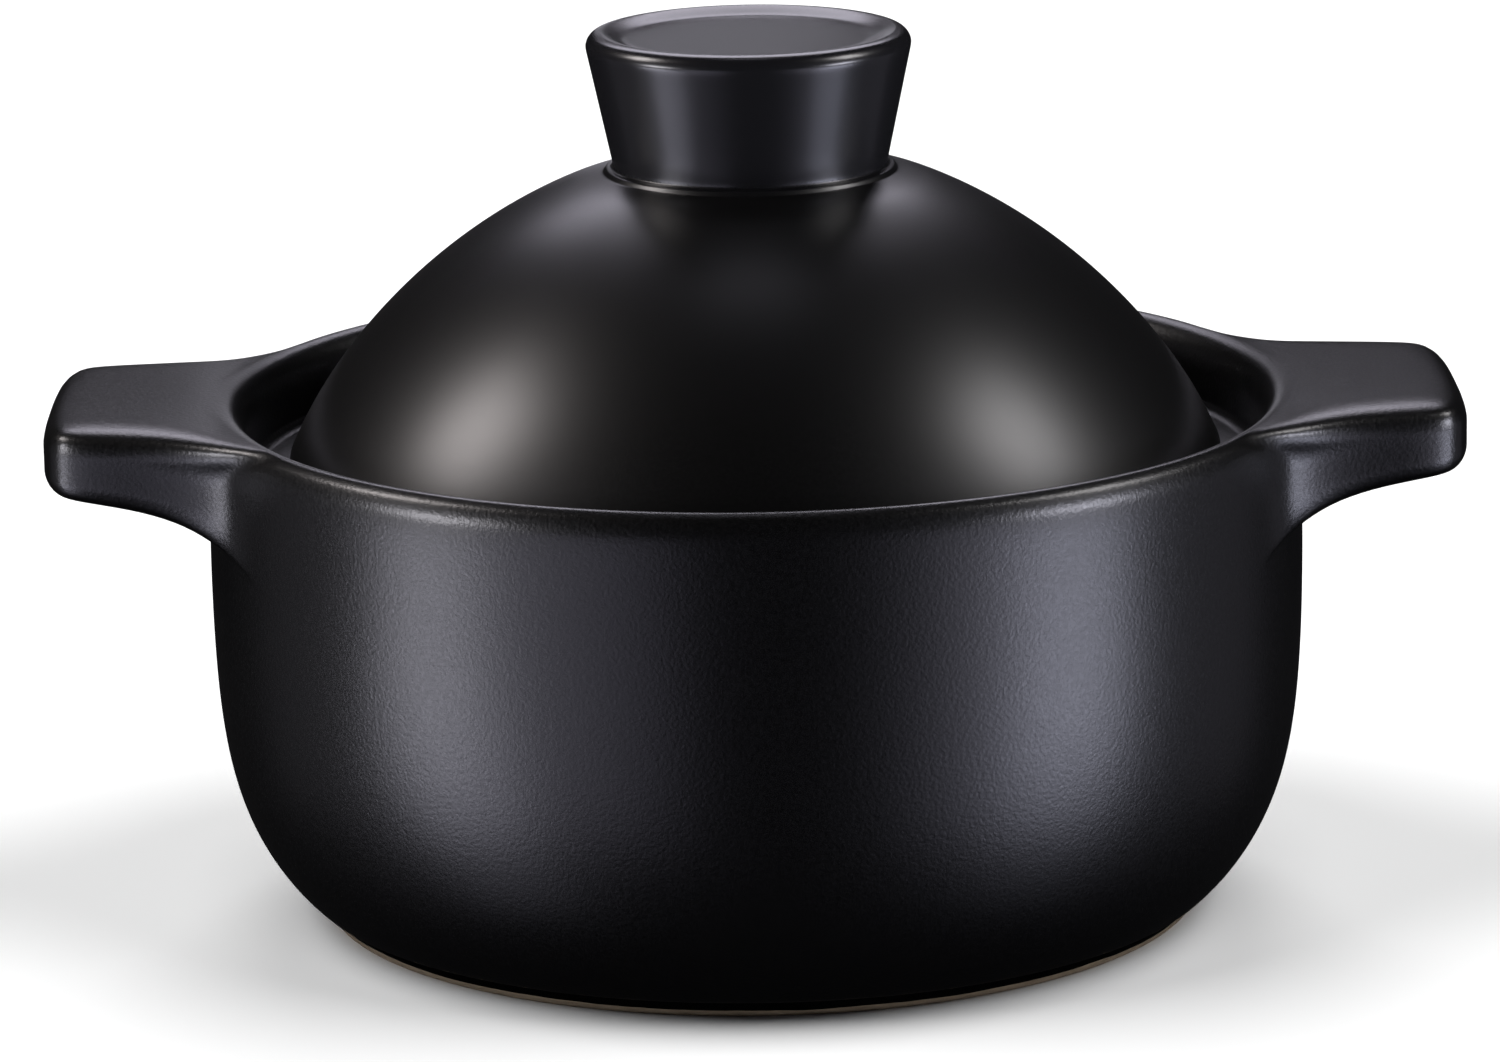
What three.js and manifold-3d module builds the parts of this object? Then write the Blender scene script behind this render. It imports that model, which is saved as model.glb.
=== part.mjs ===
// A lidded clay casserole: a deep round bowl on a turned foot, two lug handles luted to its wall, and a domed
// lid with a hollow flared knob. Millimetres, +Z up. The origin is on the table under the bowl's axis, and the
// handles point along +X and -X.

import * as THREE from 'three';
import { mergeVertices } from 'three/addons/utils/BufferGeometryUtils.js';
import Module from 'manifold-3d';

const wasm = await Module();
wasm.setup();

// Bowl: wall, rim and belly
const RIM_HEIGHT = 96.3;
const WALL_RADIUS = 101.15;
const WALL_THICKNESS = 7.6;
const LIP_OVERHANG = 3.2;
const LIP_DROP = 7;
const WALL_PULL = 49.4;
const BELLY_ANGLE = 44.6;
const BELLY_PULL = 24.8;
const HEEL_STEP = 3.1;
const FLOOR_THICKNESS = 9;
const FLOOR_FLAT_RADIUS = 60;
const FLOOR_PULL = 28;
const CAVITY_PULL = 40;

// Gallery: the step inside the rim that carries the lid
const RIM_THICKNESS = 7;
const INNER_LIP_DROP = 4.5;
const GALLERY_DEPTH = 14.5;
const LEDGE_WIDTH = 12.5;
const LEDGE_FILLET = 2.5;
const NOSE_THICKNESS = 5;
const NOSE_ROUND = 1.5;
const LEDGE_UNDERCUT = 45;

// Foot ring
const FOOT_RADIUS = 81.6;
const FOOT_WIDTH = 10;
const FOOT_HEIGHT = 3;
const FOOT_ROUND = 0.9;

// Lug handles
const HANDLE_REACH = 29.3;
const HANDLE_WIDTH = 65;
const HANDLE_RISE = 0.9;
const HANDLE_TIP_THICKNESS = 12.8;
const HANDLE_END_LENGTH = 11;
const HANDLE_END_FULLNESS = 0.72;
const HANDLE_TOP_ROUND = 4;
const HANDLE_UNDER_ROUND = 3.5;
const HANDLE_ARCH_RADIUS = 80;
const HANDLE_FLARE_RADIUS = 18;
const HANDLE_ROOT_FILLET = 9;
const HANDLE_FEATHER = 0.9;

// Lid: dome, seating lip and locating skirt
const LID_MARGIN = 8.15;
const LID_LIP_HEIGHT = 3.3;
const LID_LIP_ROUND = 1.2;
const LID_THICKNESS = 6;
const DOME_RISE = 56.6;
const DOME_ANGLE = 21.3;
const DOME_PULL = 23.1;
const CROWN_PULL = 45.9;
const SKIRT_PLAY = 1.2;
const SKIRT_DEPTH = 5;
const SKIRT_THICKNESS = 4.5;
const SKIRT_ROUND = 1;

// Knob
const KNOB_BASE_RADIUS = 25.3;
const KNOB_TOP_RADIUS = 29.8;
const KNOB_HEIGHT = 24.6;
const KNOB_WALL = 6;
const KNOB_CROWN = 5;
const KNOB_EDGE_ROUND = 3;
const KNOB_RIM_WIDTH = 5.4;
const KNOB_DISH_DEPTH = 2.1;
const KNOB_FILLET = 2.6;
const KNOB_FEATHER = 0.3;

// Fits
const LUTE_GAP = 0.3;
const SEAT_GAP = 0.3;

// Smoothness of the turned and lofted surfaces
const TURN_STEPS = 64;
const KNOB_TURN_STEPS = 48;
const CURVE_STEPS = 9;
const DOME_STEPS = 12;
const CORNER_STEPS = 3;
const ROUND_STEPS = 4;
const FLARE_STEPS = 5;
const END_STEPS = 9;
const UNDERSIDE_STEPS = 4;
const HALVING_STEPS = 40;
const WELD_DISTANCE = 1e-4;

// Heights and radii where the pieces meet
const radians = THREE.MathUtils.degToRad;
const bowlBase = FOOT_HEIGHT + LUTE_GAP;
const heelRadius = FOOT_RADIUS + HEEL_STEP;
const crestRadius = WALL_RADIUS - LIP_OVERHANG;
const lipHeight = RIM_HEIGHT - LIP_DROP;
const galleryRadius = WALL_RADIUS - RIM_THICKNESS;
const ledgeHeight = RIM_HEIGHT - GALLERY_DEPTH;
const noseRadius = galleryRadius - LEDGE_WIDTH;
const cavityRadius = WALL_RADIUS - WALL_THICKNESS;
const noseBottom = ledgeHeight - NOSE_THICKNESS;
const cavityTop = noseBottom - (cavityRadius - noseRadius) * Math.tan(radians(LEDGE_UNDERCUT));
const floorHeight = bowlBase + FLOOR_THICKNESS;
const seatHeight = ledgeHeight + SEAT_GAP;
const lidRadius = galleryRadius - LID_MARGIN;
const domeBase = seatHeight + LID_LIP_HEIGHT;
const apexHeight = domeBase + DOME_RISE;
const skirtRadius = noseRadius - SKIRT_PLAY;
const skirtInside = skirtRadius - SKIRT_THICKNESS;
const skirtBottom = seatHeight - SKIRT_DEPTH;
const handleTipBottom = RIM_HEIGHT + HANDLE_RISE - HANDLE_TIP_THICKNESS;
const handleTip = WALL_RADIUS + HANDLE_REACH;

const satinGlaze = { color: 0x1a1a1c, roughness: 0.42, metalness: 0 };
const bareClay = { color: 0xa58d70, roughness: 0.92, metalness: 0 };

function meshOf(name, geometry, finish) {
  const mesh = new THREE.Mesh(geometry, new THREE.MeshStandardMaterial(finish));
  mesh.name = name;
  return mesh;
}

// A profile in the half plane (radius, height), turned about the Z axis
function turned(profile, steps) {
  const geometry = new THREE.LatheGeometry(profile, steps);
  return geometry.rotateX(Math.PI / 2);
}

// A closed geometry as a solid that can be cut: welded corners, no collapsed triangles
function solidOf(geometry) {
  const bare = geometry.clone();
  bare.deleteAttribute('normal');
  bare.deleteAttribute('uv');
  const welded = mergeVertices(bare, WELD_DISTANCE);
  const index = welded.getIndex().array;
  const triangles = [];
  for (let i = 0; i < index.length; i += 3) {
    const [a, b, c] = index.slice(i, i + 3);
    if (a !== b && b !== c && c !== a) triangles.push(a, b, c);
  }
  const vertProperties = new Float32Array(welded.getAttribute('position').array);
  const triVerts = new Uint32Array(triangles);
  return new wasm.Manifold(new wasm.Mesh({ numProp: 3, vertProperties, triVerts }));
}

function geometryOf(solid) {
  const { vertProperties, triVerts } = solid.getMesh();
  const geometry = new THREE.BufferGeometry();
  geometry.setAttribute('position', new THREE.BufferAttribute(new Float32Array(vertProperties), 3));
  geometry.setIndex(new THREE.BufferAttribute(new Uint32Array(triVerts), 1));
  geometry.computeVertexNormals();
  return geometry;
}

// Points of a curve in the half plane, moved along its normal; a positive distance moves to its right
function offsetPoints(curve, steps, distance) {
  const points = [];
  for (let i = 0; i <= steps; i++) {
    const tangent = curve.getTangent(i / steps);
    const shift = new THREE.Vector2(tangent.y, -tangent.x).multiplyScalar(distance);
    points.push(curve.getPoint(i / steps).add(shift));
  }
  return points;
}

// Belly: leaves the heel at its own angle and runs up into the upright wall
function bellyCurve() {
  const angle = radians(BELLY_ANGLE);
  return new THREE.CubicBezierCurve(
    new THREE.Vector2(heelRadius, bowlBase),
    new THREE.Vector2(heelRadius + BELLY_PULL * Math.cos(angle), bowlBase + BELLY_PULL * Math.sin(angle)),
    new THREE.Vector2(WALL_RADIUS, lipHeight - WALL_PULL),
    new THREE.Vector2(WALL_RADIUS, lipHeight),
  );
}

// The lip rounds over from the wall's face to the crest of the rim
function lipCurve() {
  return new THREE.EllipseCurve(crestRadius, lipHeight, LIP_OVERHANG, LIP_DROP, 0, Math.PI / 2);
}

function bowlProfile() {
  const inner = new THREE.Path();
  const innerLipBase = RIM_HEIGHT - INNER_LIP_DROP;
  inner.absellipse(
    crestRadius, innerLipBase, crestRadius - galleryRadius, INNER_LIP_DROP, Math.PI / 2, Math.PI, false);
  inner.lineTo(galleryRadius, ledgeHeight + LEDGE_FILLET);
  inner.quadraticCurveTo(galleryRadius, ledgeHeight, galleryRadius - LEDGE_FILLET, ledgeHeight);
  inner.lineTo(noseRadius + NOSE_ROUND, ledgeHeight);
  inner.quadraticCurveTo(noseRadius, ledgeHeight, noseRadius, ledgeHeight - NOSE_ROUND);
  inner.lineTo(noseRadius, noseBottom);
  inner.lineTo(cavityRadius, cavityTop);
  const cavity = new THREE.CubicBezierCurve(
    new THREE.Vector2(cavityRadius, cavityTop),
    new THREE.Vector2(cavityRadius, cavityTop - CAVITY_PULL),
    new THREE.Vector2(FLOOR_FLAT_RADIUS + FLOOR_PULL, floorHeight),
    new THREE.Vector2(FLOOR_FLAT_RADIUS, floorHeight),
  );
  return [
    new THREE.Vector2(0, bowlBase),
    ...bellyCurve().getPoints(CURVE_STEPS),
    ...lipCurve().getPoints(ROUND_STEPS).slice(1),
    ...inner.getPoints(CORNER_STEPS).slice(1),
    ...cavity.getPoints(CURVE_STEPS).slice(1),
    new THREE.Vector2(0, floorHeight),
  ];
}

// The bowl's outer face, moved out by the lute gap and filled in, to trim what is luted against it
function wallCutter() {
  const profile = [
    new THREE.Vector2(0, bowlBase),
    ...offsetPoints(bellyCurve(), CURVE_STEPS, LUTE_GAP),
    ...offsetPoints(lipCurve(), ROUND_STEPS, LUTE_GAP).slice(1),
    new THREE.Vector2(0, RIM_HEIGHT + LUTE_GAP),
  ];
  return solidOf(turned(profile, TURN_STEPS));
}

function footProfile() {
  const inside = FOOT_RADIUS - FOOT_WIDTH;
  const path = new THREE.Path();
  path.moveTo(inside + FOOT_ROUND, 0);
  path.lineTo(FOOT_RADIUS - FOOT_ROUND, 0);
  path.quadraticCurveTo(FOOT_RADIUS, 0, FOOT_RADIUS, FOOT_ROUND);
  path.lineTo(FOOT_RADIUS, FOOT_HEIGHT);
  path.lineTo(inside, FOOT_HEIGHT);
  path.lineTo(inside, FOOT_ROUND);
  path.quadraticCurveTo(inside, 0, inside + FOOT_ROUND, 0);
  return path.getPoints(CORNER_STEPS);
}

// Half of the handle's outline seen from above, from the bowl's wall to the middle of the tip: a flare that is
// tangent to the wall and to the handle's side, the straight side, and a full rounded end
function handleOutline() {
  const half = HANDLE_WIDTH / 2;
  const wall = WALL_RADIUS + HANDLE_FEATHER;
  const centreY = half + HANDLE_FLARE_RADIUS;
  const centreX = Math.sqrt((wall + HANDLE_FLARE_RADIUS) ** 2 - centreY ** 2);
  const endStart = Math.max(handleTip - HANDLE_END_LENGTH, centreX);
  const flare = new THREE.EllipseCurve(
    centreX, centreY, HANDLE_FLARE_RADIUS, HANDLE_FLARE_RADIUS,
    Math.atan2(centreY, centreX) + Math.PI, 1.5 * Math.PI);
  const end = new THREE.CubicBezierCurve(
    new THREE.Vector2(endStart, half),
    new THREE.Vector2(endStart + (handleTip - endStart) * HANDLE_END_FULLNESS, half),
    new THREE.Vector2(handleTip, half * HANDLE_END_FULLNESS),
    new THREE.Vector2(handleTip, 0),
  );
  const stations = [];
  for (const [curve, steps] of [[flare, FLARE_STEPS], [end, END_STEPS]]) {
    for (let i = 0; i <= steps; i++) {
      const tangent = curve.getTangent(i / steps);
      stations.push({
        point: curve.getPoint(i / steps),
        normal: new THREE.Vector2(-tangent.y, tangent.x),
      });
    }
  }
  const first = stations[0];
  const buried = first.point.clone().multiplyScalar(galleryRadius / wall);
  return [{ point: buried, normal: first.normal }, ...stations];
}

// Height of the handle's top at a distance from the wall: level with the rim there, and rising a little to the tip
function handleTopside(fromWall) {
  const share = Math.min(fromWall / HANDLE_REACH, 1);
  return RIM_HEIGHT + HANDLE_RISE * share * (2 - share);
}

// Height of the handle's underside at a distance from the wall: an arch that is thinnest at the tip, and a fillet
// where it meets the wall
function handleUnderside(fromWall) {
  const run = Math.max(HANDLE_REACH - fromWall, 0);
  const arch = HANDLE_ARCH_RADIUS - Math.sqrt(HANDLE_ARCH_RADIUS ** 2 - run ** 2);
  const near = Math.max(HANDLE_ROOT_FILLET - fromWall, 0);
  const fillet = HANDLE_ROOT_FILLET - Math.sqrt(HANDLE_ROOT_FILLET ** 2 - near ** 2);
  return handleTipBottom - arch - fillet;
}

// One station's half section, from the middle of the top over the rounded edges to the middle of the underside.
// Across the underside it bows with the wall near the root and runs straight at the tip.
function handleSection({ point, normal }) {
  const inset = (depth) => point.clone().addScaledVector(normal, -depth);
  const row = [];
  const add = (place, height) => row.push(new THREE.Vector3(place.x, Math.max(place.y, 0), height));
  const fromWall = (place) => Math.max(place.length() - WALL_RADIUS, 0);
  const topEdge = inset(HANDLE_TOP_ROUND);
  const top = handleTopside(fromWall(topEdge));
  const lowEdge = inset(HANDLE_UNDER_ROUND);
  const bottom = handleUnderside(fromWall(lowEdge));
  const side = handleTipBottom + HANDLE_UNDER_ROUND;
  const middle = new THREE.Vector2(topEdge.x, 0);
  add(middle, handleTopside(fromWall(middle)));
  for (let i = 0; i <= ROUND_STEPS; i++) {
    const turn = (i / ROUND_STEPS) * Math.PI / 2;
    add(inset(HANDLE_TOP_ROUND * (1 - Math.sin(turn))), top - HANDLE_TOP_ROUND * (1 - Math.cos(turn)));
  }
  for (let i = 0; i <= ROUND_STEPS; i++) {
    const turn = (i / ROUND_STEPS) * Math.PI / 2;
    add(inset(HANDLE_UNDER_ROUND * (1 - Math.cos(turn))), side - (side - bottom) * Math.sin(turn));
  }
  const bow = THREE.MathUtils.clamp((handleTip - lowEdge.x) / HANDLE_REACH, 0, 1);
  for (let i = 1; i <= UNDERSIDE_STEPS; i++) {
    const y = Math.max(lowEdge.y, 0) * (1 - i / UNDERSIDE_STEPS);
    const bowed = Math.sqrt(lowEdge.lengthSq() - y ** 2);
    const place = new THREE.Vector2(THREE.MathUtils.lerp(lowEdge.x, bowed, bow), y);
    add(place, handleUnderside(fromWall(place)));
  }
  return row;
}

// The handle: half sections lofted from root to tip, mirrored, closed at the root and trimmed to the wall
function handleGeometry() {
  const halfRows = handleOutline().map(handleSection);
  const rings = halfRows.map((row) => {
    const mirrored = row.slice(1, -1).reverse().map((p) => new THREE.Vector3(p.x, -p.y, p.z));
    return [...row, ...mirrored];
  });
  const count = rings[0].length;
  const positions = rings.flat().flatMap((p) => [p.x, p.y, p.z]);
  const index = [];
  for (let i = 0; i + 1 < rings.length; i++) {
    for (let j = 0; j < count; j++) {
      const a = i * count + j;
      const b = i * count + (j + 1) % count;
      index.push(a, b + count, b, a, a + count, b + count);
    }
  }
  for (let j = 1; j + 1 < count; j++) index.push(0, j, j + 1);
  const loft = new THREE.BufferGeometry();
  loft.setAttribute('position', new THREE.Float32BufferAttribute(positions, 3));
  loft.setIndex(index);
  return geometryOf(solidOf(loft).subtract(wallCutter()));
}

// Outer face of the lid, from the lip to the middle of the crown
function domeCurve() {
  const angle = radians(DOME_ANGLE);
  return new THREE.CubicBezierCurve(
    new THREE.Vector2(lidRadius, domeBase),
    new THREE.Vector2(lidRadius - DOME_PULL * Math.sin(angle), domeBase + DOME_PULL * Math.cos(angle)),
    new THREE.Vector2(CROWN_PULL, apexHeight),
    new THREE.Vector2(0, apexHeight),
  );
}

// Height of the lid's outer face at a radius, found by halving
function domeHeight(radius) {
  const curve = domeCurve();
  let low = 0;
  let high = 1;
  for (let i = 0; i < HALVING_STEPS; i++) {
    const middle = (low + high) / 2;
    if (curve.getPoint(middle).x > radius) low = middle;
    else high = middle;
  }
  return curve.getPoint(low).y;
}

function lidProfile() {
  const shell = offsetPoints(domeCurve(), DOME_STEPS, -LID_THICKNESS)
    .filter((p) => p.x < skirtInside)
    .reverse();
  const rim = new THREE.Path();
  rim.moveTo(skirtInside, skirtBottom + SKIRT_ROUND);
  rim.quadraticCurveTo(skirtInside, skirtBottom, skirtInside + SKIRT_ROUND, skirtBottom);
  rim.lineTo(skirtRadius - SKIRT_ROUND, skirtBottom);
  rim.quadraticCurveTo(skirtRadius, skirtBottom, skirtRadius, skirtBottom + SKIRT_ROUND);
  rim.lineTo(skirtRadius, seatHeight);
  rim.lineTo(lidRadius - LID_LIP_ROUND, seatHeight);
  rim.quadraticCurveTo(lidRadius, seatHeight, lidRadius, seatHeight + LID_LIP_ROUND);
  const crown = new THREE.Vector2(0, apexHeight - LID_THICKNESS);
  return [
    crown,
    ...shell.slice(1),
    ...rim.getPoints(CORNER_STEPS),
    ...domeCurve().getPoints(DOME_STEPS),
  ];
}

// Hollow flared knob: a cup turned over, dished on top, its foot shaped to the crown of the lid
function knobProfile() {
  const base = domeHeight(KNOB_BASE_RADIUS) + LUTE_GAP;
  const top = base + KNOB_HEIGHT;
  const dish = top - KNOB_DISH_DEPTH;
  const ceiling = dish - KNOB_CROWN;
  const bore = KNOB_BASE_RADIUS - KNOB_WALL;
  const spread = KNOB_BASE_RADIUS + KNOB_FILLET;
  const dishRadius = KNOB_TOP_RADIUS - KNOB_RIM_WIDTH;
  const crest = KNOB_TOP_RADIUS - KNOB_EDGE_ROUND;
  const seat = [];
  for (let i = 0; i <= CORNER_STEPS; i++) {
    const radius = THREE.MathUtils.lerp(bore, spread, i / CORNER_STEPS);
    seat.push(new THREE.Vector2(radius, domeHeight(radius) + LUTE_GAP));
  }
  const side = new THREE.Path();
  side.moveTo(spread, seat.at(-1).y + KNOB_FEATHER);
  side.quadraticCurveTo(KNOB_BASE_RADIUS, base, KNOB_BASE_RADIUS, base + KNOB_FILLET);
  side.lineTo(KNOB_TOP_RADIUS, top - KNOB_EDGE_ROUND);
  side.quadraticCurveTo(KNOB_TOP_RADIUS, top, crest, top);
  side.bezierCurveTo((crest + dishRadius) / 2, top, (crest + dishRadius) / 2, dish, dishRadius, dish);
  return [
    new THREE.Vector2(0, ceiling),
    new THREE.Vector2(bore, ceiling),
    ...seat,
    ...side.getPoints(ROUND_STEPS),
    new THREE.Vector2(0, dish),
  ];
}

const bowl = meshOf('pot_bowl', turned(bowlProfile(), TURN_STEPS), satinGlaze);
const foot = meshOf('foot_ring', turned(footProfile(), TURN_STEPS), bareClay);
const lug = handleGeometry();
const rightHandle = meshOf('right_handle', lug, satinGlaze);
const leftHandle = meshOf('left_handle', lug.clone(), satinGlaze);
leftHandle.rotation.z = Math.PI;
const dome = meshOf('lid_dome', turned(lidProfile(), TURN_STEPS), satinGlaze);
const knob = meshOf('lid_knob', turned(knobProfile(), KNOB_TURN_STEPS), satinGlaze);

const pot = new THREE.Group();
pot.add(bowl, foot, leftHandle, rightHandle);
const lid = new THREE.Group();
lid.add(dome, knob);

const casserole = new THREE.Group();
casserole.add(pot, lid);

export default casserole;
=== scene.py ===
"""Looks of a lidded clay casserole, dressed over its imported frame.

Lengths are metres in the frame's axes: +Z is up along the pot's axis, +X points to the right lug and
+Y away from the viewer. Angles are degrees.
"""

import logging
import math
from dataclasses import dataclass
from enum import Enum
from typing import ClassVar

import bmesh
import bpy
from bmesh.types import BMesh
from mathutils import Matrix, Vector
from mathutils.geometry import interpolate_bezier


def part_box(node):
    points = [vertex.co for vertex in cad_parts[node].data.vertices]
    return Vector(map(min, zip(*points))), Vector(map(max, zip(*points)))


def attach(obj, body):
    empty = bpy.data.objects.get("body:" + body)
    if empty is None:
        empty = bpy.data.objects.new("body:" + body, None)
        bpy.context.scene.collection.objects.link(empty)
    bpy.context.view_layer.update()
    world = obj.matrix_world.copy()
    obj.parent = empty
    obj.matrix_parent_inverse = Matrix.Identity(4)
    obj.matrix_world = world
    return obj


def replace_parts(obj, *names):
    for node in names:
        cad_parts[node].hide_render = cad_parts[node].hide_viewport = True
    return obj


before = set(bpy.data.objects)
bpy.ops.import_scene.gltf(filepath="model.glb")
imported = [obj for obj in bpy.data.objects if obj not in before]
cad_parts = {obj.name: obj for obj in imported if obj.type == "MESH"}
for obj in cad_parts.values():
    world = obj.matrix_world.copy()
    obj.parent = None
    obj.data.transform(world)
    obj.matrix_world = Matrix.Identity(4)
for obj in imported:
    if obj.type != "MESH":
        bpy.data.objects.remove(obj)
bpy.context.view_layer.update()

LOG = logging.getLogger("clay_casserole")
UP = Vector((0.0, 0.0, 1.0))
MERGE_DISTANCE = 1e-6
CREST_DROP = 0.0004
SUBDIVISION_LEVELS = 2

BOWL_LOW, BOWL_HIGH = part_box("pot_bowl")
FOOT_LOW, FOOT_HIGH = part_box("foot_ring")
LUG_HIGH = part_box("right_handle")[1]
DOME_LOW, DOME_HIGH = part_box("lid_dome")
KNOB_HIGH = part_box("lid_knob")[1]

Profile = list[Vector]
Pair = tuple[float, float]
Colour = tuple[float, float, float]

WHITE: Colour = (1.0, 1.0, 1.0)


class Body(Enum):
    """The two bodies that move against each other."""

    POT = "pot"
    LID = "lid"


class Slot(Enum):
    """The record's material slots."""

    POT_GLAZE = "pot_glaze"
    LID_GLAZE = "lid_glaze"
    BARE_CLAY = "bare_clay"


def at(radius: float, height: float) -> Vector:
    """A profile point in the half-plane of the pot's axis and +X."""
    return Vector((radius, 0.0, height))


def arc(centre: Vector, across: float, along: float, start: float, end: float, steps: int) -> Profile:
    """Points along an elliptic arc of a profile.

    Args:
        centre: Middle of the ellipse.
        across: Half-axis along the radius.
        along: Half-axis along the height.
        start: First angle, from the outward radius towards up.
        end: Last angle.
        steps: Number of equal angle steps.

    Returns:
        The points from start to end, both included.
    """
    turns = [math.radians(start + (end - start) * i / steps) for i in range(steps + 1)]
    return [centre + at(across * math.cos(a), along * math.sin(a)) for a in turns]


def blend(low: float, high: float, share: float) -> float:
    """The value at a share of the way from low to high."""
    return low + (high - low) * share


def ease(share: float) -> float:
    """A share that starts and ends softly."""
    return share**2 * (3.0 - 2.0 * share)


class Wheel:
    """A potter's wheel: turns half-profiles into subdivision cages round the axis."""

    def __init__(self, columns: int) -> None:
        """Keeps the number of columns in a full turn."""
        self.columns = columns
        self.step = math.tau / columns

    def cage(self, profile: Profile, closed: bool) -> Profile:
        """Control points whose subdivided surface passes through a profile.

        The subdivided surface weighs a control point and its two neighbours as 4, 1 and 1 sixths, along
        the profile and round the axis alike.

        Args:
            profile: Points on the finished surface.
            closed: True where the last point joins the first.

        Returns:
            One control point for each profile point.
        """
        spread = 3.0 / (2.0 + math.cos(self.step))
        points = []
        for i, point in enumerate(profile):
            inner = closed or 0 < i < len(profile) - 1
            before = profile[i - 1]
            after = profile[(i + 1) % len(profile)]
            control = point - (before - 2.0 * point + after) / 6.0 if inner else point.copy()
            control.x *= spread
            points.append(control)
        return points

    def turn(self, profile: Profile, closed: bool = False) -> BMesh:
        """Spins a profile into a closed cage.

        Args:
            profile: Points on the finished surface.
            closed: True for a ring, False where both ends lie on the axis.

        Returns:
            The cage, with each vertex's profile row and column in integer layers.
        """
        bm = bmesh.new()
        row = bm.verts.layers.int.new("row")
        column = bm.verts.layers.int.new("column")
        verts = [bm.verts.new(point) for point in self.cage(profile, closed)]
        for i, vert in enumerate(verts):
            vert[row] = i
        edges = [bm.edges.new(pair) for pair in zip(verts, verts[1:])]
        if closed:
            edges.append(bm.edges.new((verts[-1], verts[0])))
        bmesh.ops.spin(
            bm, geom=verts + edges, axis=UP, cent=(0.0, 0.0, 0.0),
            angle=math.tau, steps=self.columns, use_merge=True,
        )
        bmesh.ops.remove_doubles(bm, verts=bm.verts, dist=MERGE_DISTANCE)
        for vert in bm.verts:
            vert[column] = round(math.atan2(vert.co.y, vert.co.x) / self.step) % self.columns
        return bm


def publish(
    bm: BMesh, name: str, material: bpy.types.Material, body: Body,
) -> bpy.types.Object:
    """Turns a cage into a smooth, subdivided piece that rides on a body.

    Args:
        bm: The cage, which is freed.
        name: Name of the piece.
        material: Its finish.
        body: The body that it moves with.

    Returns:
        The new object, at the origin.
    """
    bmesh.ops.recalc_face_normals(bm, faces=bm.faces)
    mesh = bpy.data.meshes.new(name)
    bm.to_mesh(mesh)
    bm.free()
    mesh.shade_smooth()
    mesh.materials.append(material)
    piece = bpy.data.objects.new(name, mesh)
    bpy.context.scene.collection.objects.link(piece)
    smooth = piece.modifiers.new("smooth_form", "SUBSURF")
    smooth.levels = SUBDIVISION_LEVELS
    smooth.render_levels = SUBDIVISION_LEVELS
    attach(piece, body.value)
    return piece


@dataclass(frozen=True)
class Station:
    """One section of a lug's cage.

    Attributes:
        middle: How far out its middle lies.
        side: How far out and how far across its side face lies.
        brow: The same for the edge of its top, which flares wider into the rim.
        underside: Height of its underside.
        settled: Share by which its rows have left the spacing of the wall's rows.
    """

    middle: float
    side: Pair
    brow: Pair
    underside: float
    settled: float


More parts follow.
